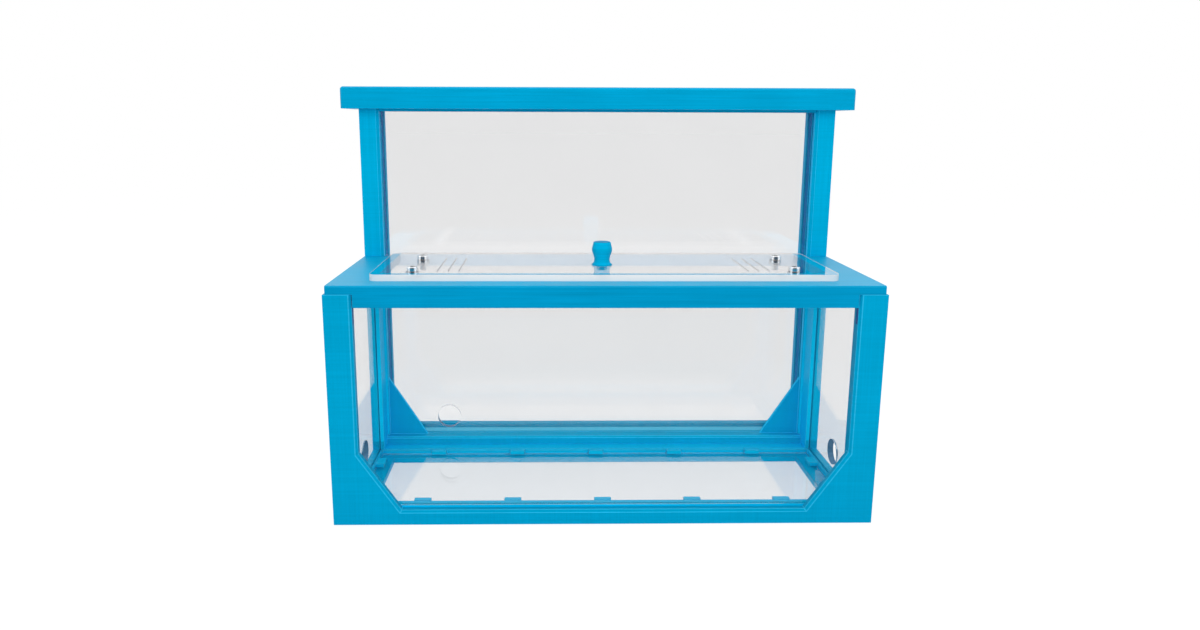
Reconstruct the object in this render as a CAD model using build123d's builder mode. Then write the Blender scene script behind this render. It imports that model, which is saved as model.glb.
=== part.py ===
from build123d import *
import os

# Ant farm: a low foraging tank with a lift-off lid, and a tall thin nest behind it
# under a lift-off cap. Printed frames hold clear sheets. All sizes in millimetres.
# X runs from left to right, Y from the front to the back, Z up from the table.

# Overall
frame_width = 250.0
body_width = 247.5
arena_depth = 80.0
nest_depth = 20.0
cap_overhang = 7.0
nest_top = 190.0
cap_height = 11.0
sheet = 3.0
sheet_gap = 0.05

# Base frame and floor
base_top = 8.0
floor_gap = 0.3
floor_recess_bottom = 3.0
recess_half_width = 116.0
front_rail_rear = 10.0
rear_rail_front = 70.0
window_half_width = 109.0
window_front = 14.0
window_rear = 66.0
tab_pitch = 42.6
tabs_per_rail = 5
tab_width = 8.0
tab_reach = 2.6
side_tab_reach = 4.6
side_tab_y = 55.0
tab_thickness = 1.9
recess_edge_break = 0.6

# Front frame
lip = 4.0
front_frame_top = 109.0
front_rail_height = 7.0
front_post_width = 12.6
front_gusset_top = 34.5
front_gusset_run = 18.8
channel_inset = 11.5
channel_rear = 10.0
channel_bite = 2.7
edge_break = 1.2

# Side and front sheets
side_sheet_inner = 117.0
side_sheet_bite = 3.0
side_sheet_let_in = 2.0
front_sheet_half_width = 116.0
port_radius = 6.35
port_y = 35.4
port_height = 20.8

# Top frame
top_frame_height = 113.0
apron_bottom = 103.0
apron_half_width = 111.9
top_edge_break = 0.5
top_groove_depth = 2.2
opening_half_width = 103.0
opening_front = 16.5
skirt_gap = 0.1
seal_lip_bottom = 106.0
strip_front = 70.0
strip_height = 6.0
strip_half_width = 113.3

# Nest
nest_window_half_width = 113.7
nest_edge_break = 1.5
nest_rail_top = 12.3
nest_rail_front = 77.5
nest_rail_break = 0.8
nest_gusset_top = 44.7
nest_gusset_run = 20.6
nest_gusset_front = 82.2
rear_channel_inner = 115.0
rear_channel_front = 70.0
nest_sheet_half_width = 116.2
nest_groove_half_width = 116.4
back_rail_top = 13.8
passage_x = -81.1
passage_height = 21.8

# Cap
cap_width = 263.0
cap_round = 1.6
cap_tongue = 1.2
cap_tongue_gap = 0.3

# Lid
lid_width = 214.0
lid_front = 10.5
lid_rear = 72.8
lid_corner = 4.0
vent_first = 67.0
vent_pitch = 5.0
vents_per_side = 3
vent_width = 0.6
vent_length = 36.0
vent_y = 38.0
knob_y = 36.5
screw_x = 88.6
screw_y = (21.3, 53.3)

# Hardware, M3
screw_radius = 1.5
screw_hole_radius = 1.7
thread_gap = 0.03
head_radius = 2.65
head_height = 1.9
head_round = 0.5
drive_flats = 2.0
drive_depth = 1.3
lid_screw_length = 8.0
knob_screw_length = 9.0
nut_flats = 5.5
nut_height = 2.4

# Knob profile, as radius and height
knob_foot_radius = 4.9
knob_foot_edge = 0.4
knob_waist = (3.7, 2.5)
knob_widest = (4.85, 8.0)
knob_shoulder = (4.3, 10.3)
knob_top = (3.3, 11.3)
knob_foot_flare = (-1.0, 0.55)
knob_top_slope = (-1.0, 0.15)
knob_hole_depth = 6.5

# Places worked out from the sizes above. The origin is the centre of the footprint.
body_depth = arena_depth + nest_depth
front = -(body_depth + cap_overhang) / 2
back = front + body_depth
nest_front = front + arena_depth
half_body = body_width / 2
side_sheet_outer = side_sheet_inner + sheet
sheet_y = front + lip
nest_sheet_y = nest_front + lip
back_sheet_y = back - lip - sheet
cavity_front = nest_sheet_y + sheet + sheet_gap
cavity_rear = back_sheet_y - sheet_gap
top_sheet_edge = front_frame_top + top_groove_depth - sheet_gap
channel_inner = frame_width / 2 - channel_inset
near = 0.01

os.makedirs("parts", exist_ok=True)


def box(x0, x1, y0, y1, z0, z1, mode=Mode.ADD):
    """A block between two corners."""
    with Locations(((x0 + x1) / 2, (y0 + y1) / 2, (z0 + z1) / 2)):
        Box(x1 - x0, y1 - y0, z1 - z0, mode=mode)


def mirrored_box(x0, x1, y0, y1, z0, z1, mode=Mode.ADD):
    """The same block on the right and on the left."""
    box(x0, x1, y0, y1, z0, z1, mode)
    box(-x1, -x0, y0, y1, z0, z1, mode)


def u_outline(half_width, bottom, top, inner, rail_top, gusset_top, gusset_run):
    """Corners of a U of two posts and a rail, with a triangular gusset in each lower corner."""
    right = [
        (0, bottom),
        (half_width, bottom),
        (half_width, top),
        (inner, top),
        (inner, gusset_top),
        (inner - gusset_run, rail_top),
        (0, rail_top),
    ]
    left = [(-x, z) for x, z in reversed(right[1:-1])]
    return right + left


def window_edges(part, face_y, inner, rail_top):
    """The edges of a U's window on its front face."""
    edges = part.edges().filter_by_position(Axis.Y, face_y - near, face_y + near)
    return edges.filter_by(lambda e: abs(e.center().X) < inner + near and e.center().Z > rail_top - near)


def write(node, name):
    """Name the piece and write it out."""
    node.part.label = name
    export_step(node.part, f"parts/{name}.step")


# Base frame: a flat tray, open in the middle, that carries every upright
with BuildPart() as base_frame:
    box(-half_body, half_body, sheet_y, back, 0, base_top)
    box(
        -recess_half_width,
        recess_half_width,
        front + front_rail_rear,
        front + rear_rail_front,
        floor_recess_bottom,
        base_top,
        Mode.SUBTRACT,
    )
    recess_edges = base_frame.faces().sort_by(Axis.Z)[-1].inner_wires()[0].edges()
    chamfer(recess_edges, recess_edge_break)
    box(
        -window_half_width,
        window_half_width,
        front + window_front,
        front + window_rear,
        0,
        base_top,
        Mode.SUBTRACT,
    )
    mirrored_box(
        side_sheet_inner - sheet_gap,
        side_sheet_outer + sheet_gap,
        front + channel_rear - side_sheet_let_in,
        nest_front + side_sheet_let_in,
        base_top - side_sheet_bite,
        base_top,
        Mode.SUBTRACT,
    )
    # Snap tabs that hold the floor sheet down
    tab_bottom = base_top - tab_thickness
    for i in range(tabs_per_rail):
        x = (i - (tabs_per_rail - 1) / 2) * tab_pitch
        front_edge = front + front_rail_rear
        rear_edge = front + rear_rail_front
        box(x - tab_width / 2, x + tab_width / 2, front_edge, front_edge + tab_reach, tab_bottom, base_top)
        box(x - tab_width / 2, x + tab_width / 2, rear_edge - tab_reach, rear_edge, tab_bottom, base_top)
    mirrored_box(
        recess_half_width - side_tab_reach,
        recess_half_width,
        front + side_tab_y - tab_width / 2,
        front + side_tab_y + tab_width / 2,
        tab_bottom,
        base_top,
    )
write(base_frame, "base_frame")

# Floor panel: clear sheet under the tabs
with BuildPart() as floor_panel:
    box(
        -recess_half_width + floor_gap,
        recess_half_width - floor_gap,
        front + front_rail_rear + floor_gap,
        front + rear_rail_front - floor_gap,
        floor_recess_bottom,
        floor_recess_bottom + sheet,
    )
write(floor_panel, "floor_panel")

# Front frame: the U seen from the front, with a channel behind each post
front_inner = frame_width / 2 - front_post_width
front_outline = u_outline(
    frame_width / 2,
    0,
    front_frame_top,
    front_inner,
    front_rail_height,
    front_gusset_top,
    front_gusset_run,
)
with BuildPart() as front_frame:
    with BuildSketch(Plane.XZ.offset(-front)):
        with BuildLine():
            Polyline(*front_outline, close=True)
        make_face()
    extrude(amount=-lip)
    chamfer(window_edges(front_frame.part, front, front_inner, front_rail_height), edge_break)
    mirrored_box(channel_inner, half_body, sheet_y, front + channel_rear, base_top, front_frame_top)
    mirrored_box(
        channel_inner,
        channel_inner + channel_bite,
        sheet_y,
        sheet_y + sheet + 2 * sheet_gap,
        base_top,
        front_frame_top,
        Mode.SUBTRACT,
    )
    mirrored_box(
        side_sheet_inner - sheet_gap,
        side_sheet_outer + sheet_gap,
        front + channel_rear - side_sheet_let_in,
        front + channel_rear,
        base_top,
        front_frame_top,
        Mode.SUBTRACT,
    )
write(front_frame, "front_frame")

# Front panel: clear sheet standing on the base behind the front frame
with BuildPart() as front_panel:
    box(
        -front_sheet_half_width,
        front_sheet_half_width,
        sheet_y + sheet_gap,
        sheet_y + sheet_gap + sheet,
        base_top,
        top_sheet_edge,
    )
write(front_panel, "front_panel")

# Side panels: clear sheets in grooves, each with a round port for a tube
side_front = front + channel_rear - side_sheet_let_in + sheet_gap
side_rear = nest_front + side_sheet_let_in - sheet_gap
for side, name in ((-1, "left_side_panel"), (1, "right_side_panel")):
    edges_x = sorted((side * side_sheet_inner, side * side_sheet_outer))
    with BuildPart() as side_panel:
        box(*edges_x, side_front, side_rear, base_top - side_sheet_bite + sheet_gap, top_sheet_edge)
        with BuildSketch(Plane.YZ.offset(edges_x[0])):
            with Locations((front + port_y, port_height)):
                Circle(port_radius)
        extrude(amount=sheet, mode=Mode.SUBTRACT)
    write(side_panel, name)

# Top frame: a U of flat rails, open at the back, with an apron between the front posts
with BuildPart() as top_frame:
    box(-half_body, half_body, front, nest_front, front_frame_top, top_frame_height)
    box(
        -opening_half_width,
        opening_half_width,
        front + opening_front,
        nest_front,
        front_frame_top,
        top_frame_height,
        Mode.SUBTRACT,
    )
    top_edges = top_frame.faces().sort_by(Axis.Z)[-1].edges()
    chamfer(top_edges.filter_by_position(Axis.Y, front - near, front + near), top_edge_break)
    box(-apron_half_width, apron_half_width, front, sheet_y, apron_bottom, front_frame_top)
    # Lip behind the front sheet, and skirts each side of the side sheets
    seal_lip_y = sheet_y + sheet + 2 * sheet_gap
    seal_lip_half_width = channel_inner - skirt_gap
    box(
        -seal_lip_half_width,
        seal_lip_half_width,
        seal_lip_y,
        front + channel_rear,
        seal_lip_bottom,
        front_frame_top,
    )
    skirt_front = front + channel_rear + skirt_gap
    skirt_rear = nest_front - skirt_gap
    mirrored_box(channel_inner, half_body, skirt_front, skirt_rear, apron_bottom, front_frame_top)
    mirrored_box(
        side_sheet_inner - sheet_gap,
        side_sheet_outer + sheet_gap,
        side_front - sheet_gap,
        nest_front,
        apron_bottom,
        front_frame_top + top_groove_depth,
        Mode.SUBTRACT,
    )
    # Groove for the front sheet's top edge
    box(
        -front_sheet_half_width - sheet_gap,
        front_sheet_half_width + sheet_gap,
        sheet_y,
        seal_lip_y,
        front_frame_top,
        front_frame_top + top_groove_depth,
        Mode.SUBTRACT,
    )
write(top_frame, "top_frame")

# Rear top strip: clear bar that carries the lid's rear edge and closes the gap to the nest
with BuildPart() as rear_top_strip:
    box(
        -strip_half_width,
        strip_half_width,
        front + strip_front,
        nest_sheet_y,
        top_frame_height - strip_height,
        top_frame_height,
    )
    mirrored_box(
        opening_half_width,
        strip_half_width,
        front + strip_front,
        nest_front,
        front_frame_top,
        top_frame_height,
        Mode.SUBTRACT,
    )
write(rear_top_strip, "rear_top_strip")

# Nest front frame: a tall U between the tank and the nest
with BuildPart() as nest_front_frame:
    box(-half_body, half_body, nest_front, nest_sheet_y, base_top, nest_top)
    box(
        -nest_window_half_width,
        nest_window_half_width,
        nest_front,
        nest_sheet_y,
        nest_rail_top,
        nest_top,
        Mode.SUBTRACT,
    )
    post_edges = window_edges(nest_front_frame.part, nest_front, nest_window_half_width, nest_rail_top)
    chamfer(post_edges.filter_by(Axis.Z), nest_edge_break)
    # The rail is thicker than the posts
    rail_y = front + nest_rail_front
    box(-rear_channel_inner, rear_channel_inner, rail_y, nest_sheet_y, base_top, nest_rail_top)
    rail_edges = nest_front_frame.edges().filter_by_position(Axis.Y, rail_y - near, rail_y + near)
    chamfer(rail_edges.sort_by(Axis.Z)[-1], nest_rail_break)
    # Gussets, set back in the lower corners
    gusset_y = front + nest_gusset_front
    for side in (-1, 1):
        with BuildSketch(Plane.XZ.offset(-gusset_y)):
            with BuildLine():
                Polyline(
                    (side * nest_window_half_width, nest_rail_top),
                    (side * nest_window_half_width, nest_gusset_top),
                    (side * (nest_window_half_width - nest_gusset_run), nest_rail_top),
                    close=True,
                )
            make_face()
        extrude(amount=gusset_y - nest_sheet_y)
    # Channels for the side sheets' rear edges
    channel_y = front + rear_channel_front
    channel_top = apron_bottom - skirt_gap
    mirrored_box(rear_channel_inner, half_body, channel_y, nest_front, base_top, channel_top)
    mirrored_box(
        side_sheet_inner - sheet_gap,
        side_sheet_outer + sheet_gap,
        channel_y,
        nest_front + side_sheet_let_in,
        base_top,
        top_frame_height,
        Mode.SUBTRACT,
    )
write(nest_front_frame, "nest_front_frame")

# Nest back frame: the matching U at the rear
with BuildPart() as nest_back_frame:
    box(-half_body, half_body, back - lip, back, base_top, nest_top)
    box(
        -nest_window_half_width,
        nest_window_half_width,
        back - lip,
        back,
        back_rail_top,
        nest_top,
        Mode.SUBTRACT,
    )
write(nest_back_frame, "nest_back_frame")

# Nest side spacers: ribs that keep the two nest sheets apart and close the sides
for side, name in ((-1, "left_nest_spacer"), (1, "right_nest_spacer")):
    wall_x = sorted((side * nest_groove_half_width, side * half_body))
    rib_x = sorted((side * nest_window_half_width, side * nest_groove_half_width))
    with BuildPart() as nest_spacer:
        box(*wall_x, nest_sheet_y, back - lip, base_top, nest_top)
        box(*rib_x, cavity_front, cavity_rear, base_top, nest_top)
    write(nest_spacer, name)

# Nest floor spacer: the same rib along the bottom
with BuildPart() as nest_floor_spacer:
    box(
        -nest_window_half_width,
        nest_window_half_width,
        cavity_front,
        cavity_rear,
        base_top,
        nest_rail_top,
    )
write(nest_floor_spacer, "nest_floor_spacer")

# Nest front panel: clear sheet with the passage from the tank into the nest
with BuildPart() as nest_front_panel:
    box(
        -nest_sheet_half_width,
        nest_sheet_half_width,
        nest_sheet_y,
        nest_sheet_y + sheet,
        base_top,
        nest_top,
    )
    with BuildSketch(Plane.XZ.offset(-nest_sheet_y)):
        with Locations((passage_x, passage_height)):
            Circle(port_radius)
    extrude(amount=-sheet, mode=Mode.SUBTRACT)
write(nest_front_panel, "nest_front_panel")

# Nest back panel: clear sheet, the rear viewing side
with BuildPart() as nest_back_panel:
    box(
        -nest_sheet_half_width,
        nest_sheet_half_width,
        back_sheet_y,
        back_sheet_y + sheet,
        base_top,
        nest_top,
    )
write(nest_back_panel, "nest_back_panel")

# Cap: a slab over the nest with a low tongue between the posts
with BuildPart() as cap:
    box(
        -cap_width / 2,
        cap_width / 2,
        nest_front - cap_overhang,
        back + cap_overhang,
        nest_top,
        nest_top + cap_height,
    )
    fillet(cap.edges().filter_by(Axis.Z), cap_round)
    fillet(cap.faces().sort_by(Axis.Z)[-1].edges(), cap_round)
    tongue_half_width = nest_window_half_width - cap_tongue_gap
    for y0 in (nest_front, back - lip):
        box(
            -tongue_half_width,
            tongue_half_width,
            y0 + cap_tongue_gap,
            y0 + lip - cap_tongue_gap,
            nest_top - cap_tongue,
            nest_top,
        )
write(cap, "cap")

# Lid: clear sheet with fine vent slits and holes for its screws
lid_y = front + (lid_front + lid_rear) / 2
lid_top = top_frame_height + sheet
with BuildPart() as lid:
    with BuildSketch(Plane.XY.offset(top_frame_height)):
        with Locations((0, lid_y)):
            RectangleRounded(lid_width, lid_rear - lid_front, lid_corner)
    extrude(amount=sheet)
    with BuildSketch(Plane.XY.offset(top_frame_height)):
        for i in range(vents_per_side):
            x = vent_first + i * vent_pitch
            with Locations((x, front + vent_y), (-x, front + vent_y)):
                SlotOverall(vent_length, vent_width, rotation=90)
        with Locations((0, front + knob_y)):
            Circle(screw_hole_radius)
        for y in screw_y:
            with Locations((screw_x, front + y), (-screw_x, front + y)):
                Circle(screw_hole_radius)
    extrude(amount=sheet, mode=Mode.SUBTRACT)
write(lid, "lid")

# Lid knob: a turned shape with a thin foot, a waist and a rounded head
knob_axis = Plane((0, front + knob_y, lid_top), x_dir=(1, 0, 0), z_dir=(0, -1, 0))
knob_foot = (knob_foot_radius, knob_foot_edge)
with BuildPart() as lid_knob:
    with BuildSketch(knob_axis):
        with BuildLine():
            Polyline((0, knob_top[1]), (0, 0), (knob_foot_radius, 0), knob_foot)
            Spline(
                knob_foot,
                knob_waist,
                knob_widest,
                knob_shoulder,
                knob_top,
                tangents=(knob_foot_flare, knob_top_slope),
            )
            Line(knob_top, (0, knob_top[1]))
        make_face()
    revolve(axis=Axis((0, front + knob_y, 0), (0, 0, 1)))
    with Locations((0, front + knob_y, lid_top)):
        Cylinder(
            screw_radius + thread_gap,
            knob_hole_depth,
            align=(Align.CENTER, Align.CENTER, Align.MIN),
            mode=Mode.SUBTRACT,
        )
write(lid_knob, "lid_knob")


def pan_screw(length):
    """A screw with a rounded pan head on Z = 0 and a hexagon socket."""
    with BuildPart() as screw:
        with BuildSketch(Plane.XZ):
            with BuildLine():
                Polyline((head_radius, head_height - head_round), (head_radius, 0), (screw_radius, 0))
                Polyline((screw_radius, 0), (screw_radius, -length), (0, -length), (0, head_height))
                Line((0, head_height), (head_radius - head_round, head_height))
                RadiusArc(
                    (head_radius - head_round, head_height),
                    (head_radius, head_height - head_round),
                    head_round,
                )
            make_face()
        revolve(axis=Axis.Z)
        with BuildSketch(Plane.XY.offset(head_height)):
            RegularPolygon(drive_flats / 2, 6, major_radius=False)
        extrude(amount=-drive_depth, mode=Mode.SUBTRACT)
    return screw.part


# Lid screws: four screws down through the corners of the lid
lid_screw = pan_screw(lid_screw_length)
with BuildPart() as lid_screws:
    for y in screw_y:
        with Locations((screw_x, front + y, lid_top), (-screw_x, front + y, lid_top)):
            add(lid_screw)
write(lid_screws, "lid_screws")

# Knob screw: up through the lid into the knob
with BuildPart() as knob_screw:
    with Locations(Location((0, front + knob_y, top_frame_height), (180, 0, 0))):
        add(pan_screw(knob_screw_length))
write(knob_screw, "knob_screw")

# Lid nuts: hexagon nuts under the lid, one on each of its screws
with BuildPart() as lid_nuts:
    with BuildSketch(Plane.XY.offset(top_frame_height)):
        for y in screw_y:
            with Locations((screw_x, front + y), (-screw_x, front + y)):
                RegularPolygon(nut_flats / 2, 6, major_radius=False)
                Circle(screw_radius + thread_gap, mode=Mode.SUBTRACT)
    extrude(amount=-nut_height)
write(lid_nuts, "lid_nuts")
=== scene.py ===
# Looks of the ant farm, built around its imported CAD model. Lengths are in metres.

import math

import bpy
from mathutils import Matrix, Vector

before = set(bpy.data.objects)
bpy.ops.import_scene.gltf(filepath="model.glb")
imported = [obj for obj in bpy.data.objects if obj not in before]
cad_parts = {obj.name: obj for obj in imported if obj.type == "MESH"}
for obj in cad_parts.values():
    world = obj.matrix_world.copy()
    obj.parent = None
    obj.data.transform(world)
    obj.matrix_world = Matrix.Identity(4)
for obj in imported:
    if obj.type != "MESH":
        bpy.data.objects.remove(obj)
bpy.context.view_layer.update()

# Camera, fitted to the edges of the object in the photograph
photo_width = 1200
photo_height = 630
focal_pixels = 810.8
axis_x = 561.8  # the pixel that the camera's axis goes through
axis_y = 275.4
camera_place = (-0.02552, -0.40190, 0.18393)
camera_turn = (1.38296, -0.00329, -0.01552)
sensor_width = 36  # millimetres, as Blender's camera counts it
nearest_seen = 0.01

# Light
sky_light = 0.65  # what lights the object from all round
background = 1.0  # what the camera, glass and metal see
# What gloss reflects, by how far a ray goes away from the viewer, from -1 to 1: the unlit room
# behind the viewer, then soft boxes at the sides and overhead, then the background
dark_room = 0.03
dark_room_end = -0.85
soft_boxes = 1.8
soft_boxes_start = -0.5
soft_boxes_end = -0.15
background_start = 0.2
once_reflected = 0.5  # below the depth of the first reflection, which is 1
front_lamp_place = (0, -0.6, 0.33)
front_lamp_power = 1.9
top_lamp_place = (0, 0.05, 0.75)
top_lamp_power = 1.2
lamp_aim = (0, 0, 0.1)
lamp_size = 0.5

# Floor
floor_half_size = 12
floor_front = -0.296  # the near edge of the floor on the middle line
floor_front_turn = math.radians(-2.6)
floor_drop = 0.0002  # keeps the floor clear of the object's underside
floor_colour = (0.8, 0.8, 0.8, 1)
floor_shadow_share = 0.2  # how much of the floor's brightness can fall into shadow
floor_painted_shade = (0.03, 0.12, 0.16, 1)  # painted shade: the floor in front of the object, as gloss reflects it
dim_floor_from = -0.055
dim_floor_to = -0.1

# Blues of the printed plastic. The parts differ a little, and several blues are lighter or darker to paint
# in the light and shade that fall on them.
front_blue = (0.0, 0.328, 0.574)
slit_painted_shade = (0.0, 0.08, 0.3)  # painted shade deep in the slits beside the apron
# painted light and shade: the top frame's apron and walls are darker, and its upward faces lighter
shaded_apron_blue = (0.0, 0.278, 0.52)
lit_top_blue = (0.0, 0.4, 0.67)
# painted light: the base frame, seen only inside the tank, is lighter than the other parts
lit_base_blue = (0.0, 0.53, 0.86)
# painted sheen: the pale blue of the nest floor spacer, whose top shows gloss at a grazing angle
ledge_painted_sheen = (0.08, 0.62, 0.88)
# painted light: the nest frames, lighter than the front frame as more light falls on them
lit_nest_blue = (0.0, 0.41, 0.69)
# painted light: the nest front frame inside the tank
channel_painted_light = (0.0, 0.6, 0.96)
# painted shade: the gussets and the channel's faces further back, darker as recesses
gusset_painted_shade = (0.0, 0.4, 0.71)
# painted light: the walls of the nest frames beside their windows, lighter than their fronts
flank_painted_light = (0.0, 0.58, 1.0)
back_flank_painted_light = (0.0, 0.53, 0.93)
# painted shade: the spacers between the nest's sheets, dark as shade falls between them
spacer_painted_shade = (0.0, 0.19, 0.5)
cap_blue = (0.0, 0.35, 0.615)
knob_blue = (0.0, 0.41, 0.69)
# painted shade: the knob's top, darker than its sides
knob_top_painted_shade = (0.0, 0.27, 0.5)
edge_painted_highlight = (0.02, 0.43, 0.7)  # painted highlight on the rounded edges, as if they catch light
inner_edge_painted_highlight = (0.04, 0.62, 0.98)  # painted highlight on the rounded edges inside the tank, lighter, where less light falls
# painted highlight on the cap's rounded edges
cap_edge_painted_highlight = (0.02, 0.5, 0.76)

# Where a part's blue changes, mostly where light and shade are painted
channel_bottom = 0.0126  # of the stretch of the nest front frame that stands in the tank
channel_top = 0.103
gusset_start = 0.0276
flank_half_width = 0.118
slit_bottom = 0.095
slit_half_width = 0.1126
flat_from = 0.8  # how straight a face looks along an axis to count as facing it

# Gloss of the printed plastic
usual_gloss = 0.5
front_gloss = 0.1
nest_gloss = 0.1
inner_edge_gloss = 0.1
ledge_gloss = 1.0
spacer_gloss = 0.02
knob_gloss = 0.08
gloss_tint = (0.0, 0.55, 1.0, 1)
plastic_ior = 1.46
plastic_roughness = 0.42
plastic_roughness_swing = 0.06

# Lines and blotches of the printed plastic
line_pitch = 0.0008  # across the lines
line_length = 0.05  # along them
line_depth = 0.00004
line_bump = 0.5
line_detail = 2.0
usual_grit = 0.5  # how strong each finer layer of noise is, beside the one before
line_grit = 0.6
line_shift = 7.3  # from one axis to the next, so that their lines differ
line_share = 0.7  # of the change in colour
blotch_share = 0.3
blotch_size = 0.03
blotch_detail = 3.0
blotch_shift = 3.1
colour_swing = 0.3

# Rounded edges of the printed parts
rounding = 0.00028
rounding_steps = 2
rounding_angle = math.radians(30)  # edges between flatter faces stay as they are
edge_slot = 1  # where a node keeps the painted highlight of its rounded edges
weld_distance = 0.000001

# Clear sheet
air_film = 0.00004  # how far the strip under the lid shrinks
sheet_ior = 1.49
front_ior = 1.42
clear_tint = (0.99, 0.992, 0.995, 1)
side_tint = (0.88, 0.88, 0.883, 1)
back_tint = (0.922, 0.922, 0.925, 1)
floor_tint = (0.81, 0.836, 0.862, 1)
strip_tint = (0.94, 1.0, 1.0, 1)
straight_light = (0.98, 0.98, 0.98, 1)  # what is left of lamp light and soft light behind a sheet
side_mirror_share = 0.65  # how much of clear sheet's full reflection the sides show
dull_mirror_share = 0.15  # the same beside the rear channels
left_dull_from = 0.0068
right_dull_from = 0.0205
sheet_roughness = 0.01
smudges_per_metre = 40.0
smudge_detail = 4.0
smudge_bump = 0.02
smudge_depth = 0.0002
smudge_shade = 0.985

# Cut edges of clear sheet
edge_white = (0.92, 0.85, 0.82, 1)
edge_painted_reflection = (0.16, 0.38, 0.62, 1)  # painted reflection: the blue that the walls' cut edges pick up from the frames
# painted reflection of the frames' blue on the cut edges of the floor sheet and the strip
floor_edge_painted_reflection = (0.25, 0.62, 0.85, 1)
strip_edge_painted_reflection = (0.5, 0.7, 0.9, 1)
lid_edge_share = 0.8  # how much of a cut edge is cloudy and not clear
wall_edge_share = 0.1
back_edge_share = 0.4
side_edge_share = 0.5
floor_edge_share = 0.35
strip_edge_share = 0.6
vent_share = 0.5  # how cloudy the walls of the vents are beside the rim
lid_rim_x = 0.1022
lid_rim_front = -0.0381
lid_rim_rear = 0.0145
cut_below = 0.5  # a face that looks along the sheet's thin axis less than this is a cut edge
edge_roughness = 0.08
edge_roughness_swing = 0.04
saw_marks_per_metre = 900.0
saw_mark_detail = 2.0
saw_mark_shift = 1.7

# Plated steel
steel_colour = (0.8, 0.81, 0.83)
steel_swing = 0.1
steel_roughness = 0.2
steel_roughness_swing = 0.08
marks_per_metre = (3000.0, 3000.0, 600.0)
mark_detail = 3.0
mark_bump = 0.2
mark_depth = 0.00002

AXES = "XYZ"
WHITE = (1, 1, 1, 1)


def add_node(tree, kind, inputs=(), **settings):
    """Adds a shader node. Inputs are pairs of a socket's name or number and a value or another socket."""
    made = tree.nodes.new("ShaderNode" + kind)
    for name, value in settings.items():
        setattr(made, name, value)
    for name, value in inputs:
        if isinstance(value, bpy.types.NodeSocket):
            tree.links.new(value, made.inputs[name])
        else:
            made.inputs[name].default_value = value
    return made


def math_node(tree, operation, first, second=0):
    return add_node(tree, "Math", [(0, first), (1, second)], operation=operation).outputs[0]


def mix_values(tree, share, first, second):
    made = add_node(tree, "Mix", [("Factor", share), ("A", first), ("B", second)], data_type="FLOAT")
    return made.outputs[0]


def mix_colours(tree, share, first, second):
    factor, colour_a, colour_b, colour_result = 0, 6, 7, 2
    inputs = [(factor, share), (colour_a, first), (colour_b, second)]
    return add_node(tree, "Mix", inputs, data_type="RGBA").outputs[colour_result]


def mix_shaders(tree, share, first, second):
    inputs = [(0, share), (1, first.outputs[0]), (2, second.outputs[0])]
    return add_node(tree, "MixShader", inputs)


def ramp(tree, value, start, end, low, high):
    """Goes from low to high as the value goes from start to end."""
    ends = [("Value", value), ("From Min", start), ("From Max", end), ("To Min", low), ("To Max", high)]
    return add_node(tree, "MapRange", ends).outputs[0]


def swing_round(tree, value, middle, swing):
    """Takes a value between 0 and 1 to one within a swing of the middle."""
    return ramp(tree, value, 0, 1, middle - swing, middle + swing)


def bumps(tree, strength, depth, height):
    inputs = [("Strength", strength), ("Distance", depth), ("Height", height)]
    return add_node(tree, "Bump", inputs).outputs[0]


def new_material(name):
    material = bpy.data.materials.new(name)
    material.use_nodes = True
    material.node_tree.nodes.clear()
    return material, material.node_tree


def finish_material(tree, shader):
    add_node(tree, "OutputMaterial", [("Surface", shader.outputs[0])])


def part_along(tree, vector, axis):
    return add_node(tree, "SeparateXYZ", [(0, vector)]).outputs[axis]


def object_place(tree):
    """Where a point lies on the object."""
    return add_node(tree, "TexCoord").outputs["Object"]


def place_along(tree, axis):
    return part_along(tree, object_place(tree), axis)


def from_middle(tree):
    """How far a point lies from the object's middle, to either side."""
    return math_node(tree, "ABSOLUTE", place_along(tree, "X"))


def beyond(tree, axis, start):
    """1 where a point lies further along an axis than the start, and 0 elsewhere."""
    return math_node(tree, "GREATER_THAN", place_along(tree, axis), start)


def facing(tree, axis):
    """How far a face looks along an axis, either way, from 0 to 1."""
    normal = add_node(tree, "NewGeometry").outputs["True Normal"]
    return math_node(tree, "ABSOLUTE", part_along(tree, normal, axis))


def faces(tree, axis):
    """1 on faces that look straight along an axis, either way, and 0 elsewhere."""
    return math_node(tree, "GREATER_THAN", facing(tree, axis), flat_from)


def even(value):
    """The same value along all axes."""
    return [value] * len(AXES)


def noise(tree, scale, detail, shift=0.0, grit=usual_grit):
    """Noise of its own scale along each axis, read at the place on the object."""
    mapping = [("Vector", object_place(tree)), ("Location", even(shift)), ("Scale", scale)]
    scaled = add_node(tree, "Mapping", mapping).outputs[0]
    inputs = [("Vector", scaled), ("Scale", 1.0), ("Detail", detail), ("Roughness", grit)]
    return add_node(tree, "TexNoise", inputs).outputs["Fac"]


def printed_lines(tree, across):
    """Fine parallel lines, as printing leaves them, that follow each other along one axis."""
    scale = even(1 / line_length)
    scale[AXES.index(across)] = 1 / line_pitch
    return noise(tree, scale, line_detail, AXES.index(across) * line_shift, line_grit)


def shaded(tree, shade, colour, swing):
    """The colour, from darker to lighter by the swing as the shade goes from 0 to 1."""
    low = [part * (1 - swing) for part in colour] + [1]
    high = [part * (1 + swing) for part in colour] + [1]
    return mix_colours(tree, shade, low, high)


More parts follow.
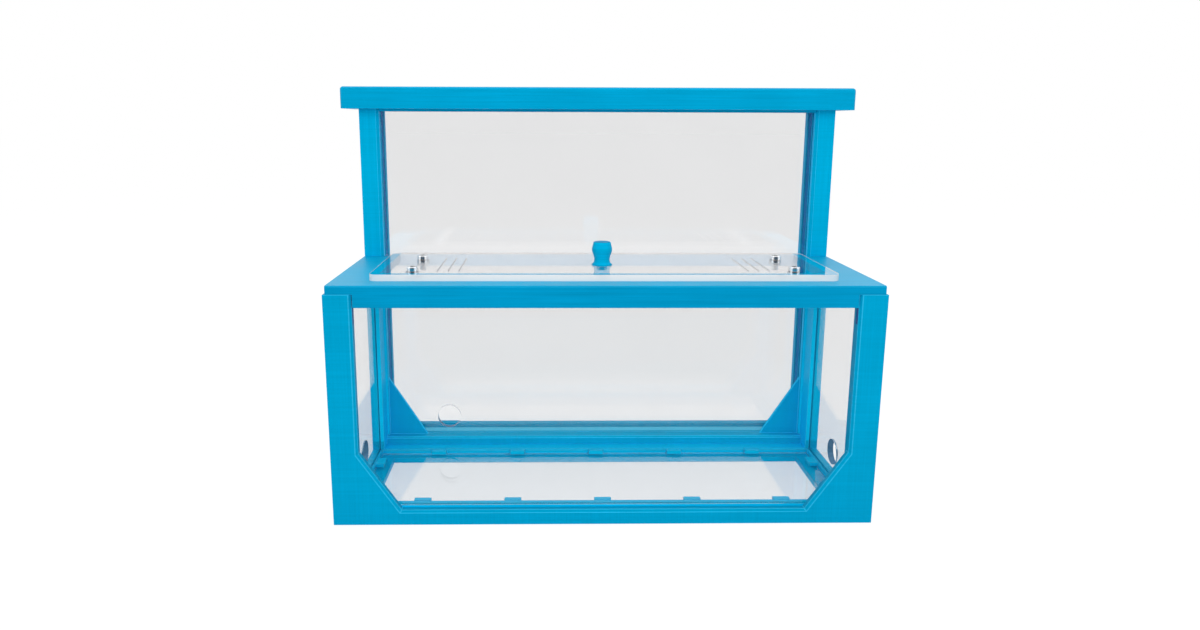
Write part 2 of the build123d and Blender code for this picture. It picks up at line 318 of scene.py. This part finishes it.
def printed_plastic(name, colour, wall_lines, zones=(), gloss=usual_gloss):
    """Satin printed plastic. The lines on walls follow each other along the axes named in wall_lines.

    Each zone is a function of the tree that gives a share, and the colour that the share mixes in.
    """
    material, tree = new_material(name)
    walls = printed_lines(tree, wall_lines[0])
    for axis in wall_lines[1:]:
        both = math_node(tree, "ADD", walls, printed_lines(tree, axis))
        walls = math_node(tree, "DIVIDE", both, 2)
    lines = mix_values(tree, faces(tree, "Z"), walls, printed_lines(tree, "Y"))
    blotches = noise(tree, even(1 / blotch_size), blotch_detail, blotch_shift)
    line_part = math_node(tree, "MULTIPLY", lines, line_share)
    blotch_part = math_node(tree, "MULTIPLY", blotches, blotch_share)
    shade = math_node(tree, "ADD", line_part, blotch_part)
    shown = shaded(tree, shade, colour, colour_swing)
    for share, other in zones:
        shown = mix_colours(tree, share(tree), shown, shaded(tree, shade, other, colour_swing))
    inputs = [
        ("Base Color", shown),
        ("Specular IOR Level", gloss),
        ("Roughness", swing_round(tree, blotches, plastic_roughness, plastic_roughness_swing)),
        ("IOR", plastic_ior),
        ("Specular Tint", gloss_tint),
        ("Normal", bumps(tree, line_bump, line_depth, lines)),
    ]
    finish_material(tree, add_node(tree, "BsdfPrincipled", inputs))
    return material


def clear_sheet(
    name, thin_axis, tint, edge_share, edge_colour, ior=sheet_ior, mirror_share=1, dull_from=None, cuts=None
):
    """Clear plastic sheet with satin cut edges. Lamps and soft light pass straight through it.

    The edge share is how cloudy a cut edge is, and cuts, a function of the tree, gives how much of
    that each place keeps. The mirror share is how much of its full reflection the sheet shows, and
    it falls to the dull share beyond the place dull_from along Y.
    """
    material, tree = new_material(name)
    on_edge = math_node(tree, "LESS_THAN", facing(tree, thin_axis), cut_below)
    smudges = noise(tree, even(smudges_per_metre), smudge_detail)
    face_roughness = swing_round(tree, smudges, sheet_roughness, sheet_roughness)
    saw_marks = noise(tree, even(saw_marks_per_metre), saw_mark_detail, saw_mark_shift)
    cut_roughness = swing_round(tree, saw_marks, edge_roughness, edge_roughness_swing)
    roughness = mix_values(tree, on_edge, face_roughness, cut_roughness)
    bump = bumps(tree, smudge_bump, smudge_depth, smudges)
    smudged = [part * smudge_shade for part in tint[:3]] + [1]
    inputs = [
        ("Base Color", mix_colours(tree, smudges, smudged, tint)),
        ("Roughness", roughness),
        ("IOR", ior),
        ("Transmission Weight", 1.0),
        ("Normal", bump),
    ]
    mirrored = add_node(tree, "BsdfPrincipled", inputs)
    unmirrored = add_node(tree, "BsdfRefraction", [("Color", tint), ("Roughness", roughness), ("IOR", ior)])
    if dull_from is not None:
        mirror_share = mix_values(tree, beyond(tree, "Y", dull_from), mirror_share, dull_mirror_share)
    clear = mix_shaders(tree, mirror_share, unmirrored, mirrored)
    cloudy = add_node(tree, "BsdfDiffuse", [("Color", edge_colour), ("Normal", bump)])
    cloudy_share = math_node(tree, "MULTIPLY", on_edge, edge_share)
    if cuts:
        cloudy_share = math_node(tree, "MULTIPLY", cloudy_share, cuts(tree))
    solid = mix_shaders(tree, cloudy_share, clear, cloudy)
    ray = add_node(tree, "LightPath").outputs
    passes = math_node(tree, "MAXIMUM", ray["Is Shadow Ray"], ray["Is Diffuse Ray"])
    open_way = add_node(tree, "BsdfTransparent", [("Color", straight_light)])
    finish_material(tree, mix_shaders(tree, passes, solid, open_way))
    return material


def plated_steel(name):
    material, tree = new_material(name)
    marks = noise(tree, marks_per_metre, mark_detail)
    inputs = [
        ("Base Color", shaded(tree, marks, steel_colour, steel_swing)),
        ("Metallic", 1.0),
        ("Roughness", swing_round(tree, marks, steel_roughness, steel_roughness_swing)),
        ("Normal", bumps(tree, mark_bump, mark_depth, marks)),
    ]
    finish_material(tree, add_node(tree, "BsdfPrincipled", inputs))
    return material


def seen_by_eye(tree):
    """1 for rays from the camera, a reflection or glass, and 0 for light that falls on a surface."""
    ray = add_node(tree, "LightPath").outputs
    eye = math_node(tree, "MAXIMUM", ray["Is Camera Ray"], ray["Is Glossy Ray"])
    return math_node(tree, "MAXIMUM", eye, ray["Is Transmission Ray"])


def seen_by_reflection(tree):
    """1 for rays that a glossy surface has turned back, also when they have passed through glass since."""
    depth = add_node(tree, "LightPath").outputs["Glossy Depth"]
    return math_node(tree, "GREATER_THAN", depth, once_reflected)


def weld_corners(node):
    """Joins the points that neighbouring faces share, which the modifier that follows needs."""
    weld = node.modifiers.new("weld", "WELD")
    weld.merge_threshold = weld_distance


# Zones of the materials


def on_top(tree):
    return faces(tree, "Z")


def on_flank(tree):
    """The walls of the nest frames beside their windows, where light is painted."""
    near = math_node(tree, "LESS_THAN", from_middle(tree), flank_half_width)
    return math_node(tree, "MULTIPLY", faces(tree, "X"), near)


def in_shaded_slit(tree):
    """The walls of the slits between the front frame's post heads and the apron, where shade is painted."""
    near = math_node(tree, "LESS_THAN", from_middle(tree), slit_half_width)
    high = math_node(tree, "MULTIPLY", faces(tree, "X"), beyond(tree, "Z", slit_bottom))
    return math_node(tree, "MULTIPLY", near, high)


def on_channel(tree):
    """The nest front frame at the height of the tank's walls, where light is painted."""
    return math_node(tree, "SUBTRACT", beyond(tree, "Z", channel_bottom), beyond(tree, "Z", channel_top))


# The channel behind the gussets' front, where shade is painted
def on_gusset(tree):
    return math_node(tree, "MULTIPLY", on_channel(tree), beyond(tree, "Y", gusset_start))


def at_lid_rim(tree):
    """1 on the lid's outer edge, and less at the vents and holes, whose walls are clearer."""
    depth = place_along(tree, "Y")
    beside = math_node(tree, "GREATER_THAN", from_middle(tree), lid_rim_x)
    before = math_node(tree, "LESS_THAN", depth, lid_rim_front)
    behind = math_node(tree, "GREATER_THAN", depth, lid_rim_rear)
    rim = math_node(tree, "MAXIMUM", beside, math_node(tree, "MAXIMUM", before, behind))
    return math_node(tree, "MAXIMUM", rim, vent_share)


# Printed plastic
# painted light on the nest frames' channels and flanks, and painted shade on the gussets
nest_zones = [(on_channel, channel_painted_light), (on_gusset, gusset_painted_shade), (on_flank, flank_painted_light)]
# the base frame, in a blue lightened as painted light
base_print = printed_plastic("printed_base", lit_base_blue, "Z")
# the front frame, with painted shade in the slits beside the apron
front_print = printed_plastic("printed_front", front_blue, "XZ", [(in_shaded_slit, slit_painted_shade)], front_gloss)
# the top frame, with painted shade on its walls and painted light on its tops
top_print = printed_plastic("printed_top", shaded_apron_blue, "Z", [(on_top, lit_top_blue)])
# the nest frames, in a blue lightened as painted light
nest_print = printed_plastic("printed_nest", lit_nest_blue, "XZ", nest_zones, nest_gloss)
# the nest back frame, with painted light on the walls beside its window
back_print = printed_plastic("printed_back", lit_nest_blue, "XZ", [(on_flank, back_flank_painted_light)], nest_gloss)
# the nest floor spacer, with its sheen painted into its blue
sheen_ledge_print = printed_plastic("printed_ledge_painted_sheen", ledge_painted_sheen, "Z", gloss=ledge_gloss)
# the spacers, in a blue darkened as painted shade
shaded_spacer_print = printed_plastic("painted_shade_spacer", spacer_painted_shade, "Z", gloss=spacer_gloss)
cap_print = printed_plastic("printed_cap", cap_blue, "Z")
# the knob, with painted shade on its top
knob_print = printed_plastic("printed_knob", knob_blue, "Z", [(on_top, knob_top_painted_shade)], knob_gloss)
# painted highlights for the rounded edges
edge_highlight_print = printed_plastic("painted_edge_highlight", edge_painted_highlight, "Z")
inner_edge_highlight_print = printed_plastic("painted_inner_edge_highlight", inner_edge_painted_highlight, "Z", gloss=inner_edge_gloss)
cap_edge_highlight_print = printed_plastic("painted_cap_edge_highlight", cap_edge_painted_highlight, "Z")

rounded_parts = {
    "base_frame": base_print,
    "front_frame": front_print,
    "top_frame": top_print,
    "nest_front_frame": nest_print,
    "nest_back_frame": back_print,
    "left_nest_spacer": shaded_spacer_print,
    "right_nest_spacer": shaded_spacer_print,
    "nest_floor_spacer": sheen_ledge_print,
    "cap": cap_print,
}
edge_highlights = {"nest_front_frame": inner_edge_highlight_print, "cap": cap_edge_highlight_print}

# Clear sheets and steel
# the cut edges are cloudy, and their blue is painted reflection of the frames
front_sheet = clear_sheet("clear_front", "Y", clear_tint, wall_edge_share, edge_painted_reflection, ior=front_ior)
inner_sheet = clear_sheet("clear_inner", "Y", clear_tint, wall_edge_share, edge_painted_reflection)
back_sheet = clear_sheet("clear_back", "Y", back_tint, back_edge_share, edge_painted_reflection)
floor_sheet = clear_sheet("clear_floor", "Z", floor_tint, floor_edge_share, floor_edge_painted_reflection)
lid_sheet = clear_sheet("clear_lid", "Z", clear_tint, lid_edge_share, edge_white, cuts=at_lid_rim)
strip_sheet = clear_sheet("clear_strip", "Z", strip_tint, strip_edge_share, strip_edge_painted_reflection)
left_sheet, right_sheet = [
    clear_sheet(
        name, "X", side_tint, side_edge_share, edge_painted_reflection, mirror_share=side_mirror_share, dull_from=start
    )
    for name, start in (("clear_left", left_dull_from), ("clear_right", right_dull_from))
]
steel = plated_steel("plated_steel")

other_parts = {
    "floor_panel": floor_sheet,
    "front_panel": front_sheet,
    "left_side_panel": left_sheet,
    "right_side_panel": right_sheet,
    "rear_top_strip": strip_sheet,
    "nest_front_panel": inner_sheet,
    "nest_back_panel": back_sheet,
    "lid": lid_sheet,
    "lid_knob": knob_print,
    "lid_screws": steel,
    "knob_screw": steel,
    "lid_nuts": steel,
}

# Materials on the CAD nodes
for name, material in (rounded_parts | other_parts).items():
    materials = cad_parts[name].data.materials
    materials.clear()
    materials.append(material)

# Rounded edges, which carry a painted highlight
for name in rounded_parts:
    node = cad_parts[name]
    node.data.materials.append(edge_highlights.get(name, edge_highlight_print))
    weld_corners(node)
    edges = node.modifiers.new("rounded_edges", "BEVEL")
    edges.width = rounding
    edges.segments = rounding_steps
    edges.limit_method = "ANGLE"
    edges.angle_limit = rounding_angle
    edges.material = edge_slot

# The strip shrinks by a hair, so that a film of air parts it from the lid and the sheet that it touches
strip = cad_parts["rear_top_strip"]
weld_corners(strip)
film = strip.modifiers.new("air_film", "DISPLACE")
film.mid_level = 0
film.strength = -air_film

# Floor
near_rise = floor_half_size * math.tan(floor_front_turn)
floor_corners = [
    (-floor_half_size, floor_front - near_rise, -floor_drop),
    (floor_half_size, floor_front + near_rise, -floor_drop),
    (floor_half_size, floor_half_size, -floor_drop),
    (-floor_half_size, floor_half_size, -floor_drop),
]
floor_mesh = bpy.data.meshes.new("floor")
floor_mesh.from_pydata(floor_corners, [], [(0, 1, 2, 3)])
floor = bpy.data.objects.new("floor", floor_mesh)
bpy.context.scene.collection.objects.link(floor)
floor_material, tree = new_material("pale_floor")
plain = add_node(tree, "BsdfDiffuse", [("Color", floor_colour)])
shadowed = add_node(tree, "BsdfDiffuse", [("Color", [floor_shadow_share] * 3 + [1])])
glow_strength = background - floor_shadow_share * sky_light
glow = add_node(tree, "Emission", [("Color", WHITE), ("Strength", glow_strength)])
bright = add_node(tree, "AddShader", [(0, shadowed.outputs[0]), (1, glow.outputs[0])])
# painted shade on the floor in front of the object, shown only in reflections
dim = add_node(tree, "Emission", [("Color", floor_painted_shade), ("Strength", 1.0)])
in_front = ramp(tree, place_along(tree, "Y"), dim_floor_from, dim_floor_to, 0, 1)
dimmed = math_node(tree, "MULTIPLY", in_front, seen_by_reflection(tree))
seen_floor = mix_shaders(tree, dimmed, bright, dim)
finish_material(tree, mix_shaders(tree, seen_by_eye(tree), plain, seen_floor))
floor_mesh.materials.append(floor_material)

# World
world = bpy.data.worlds.new("soft_studio")
world.use_nodes = True
tree = world.node_tree
tree.nodes.clear()
way = part_along(tree, add_node(tree, "TexCoord").outputs["Generated"], "Y")
room = ramp(tree, way, dark_room_end, soft_boxes_start, dark_room, soft_boxes)
mirrored = mix_values(tree, ramp(tree, way, soft_boxes_end, background_start, 0, 1), room, background)
seen = mix_values(tree, seen_by_reflection(tree), background, mirrored)
strength = mix_values(tree, seen_by_eye(tree), sky_light, seen)
sky = add_node(tree, "Background", [("Color", WHITE), ("Strength", strength)])
add_node(tree, "OutputWorld", [("Surface", sky.outputs[0])])
bpy.context.scene.world = world

# Lamps
for name, place, power in (
    ("front_lamp", front_lamp_place, front_lamp_power),
    ("top_lamp", top_lamp_place, top_lamp_power),
):
    lamp_data = bpy.data.lights.new(name, "AREA")
    lamp_data.energy = power
    lamp_data.size = lamp_size
    lamp = bpy.data.objects.new(name, lamp_data)
    lamp.location = place
    lamp.rotation_euler = (Vector(lamp_aim) - lamp.location).to_track_quat("-Z", "Y").to_euler()
    lamp.visible_camera = False
    lamp.visible_glossy = False
    lamp.visible_transmission = False
    bpy.context.scene.collection.objects.link(lamp)

# Camera
camera_data = bpy.data.cameras.new("camera")
camera_data.sensor_width = sensor_width
camera_data.lens = sensor_width * focal_pixels / photo_width
camera_data.shift_x = (photo_width / 2 - axis_x) / photo_width
camera_data.shift_y = (axis_y - photo_height / 2) / photo_width
camera_data.clip_start = nearest_seen
camera = bpy.data.objects.new("camera", camera_data)
camera.location = camera_place
camera.rotation_euler = camera_turn
bpy.context.scene.collection.objects.link(camera)
bpy.context.scene.camera = camera
bpy.context.scene.view_settings.view_transform = "Standard"
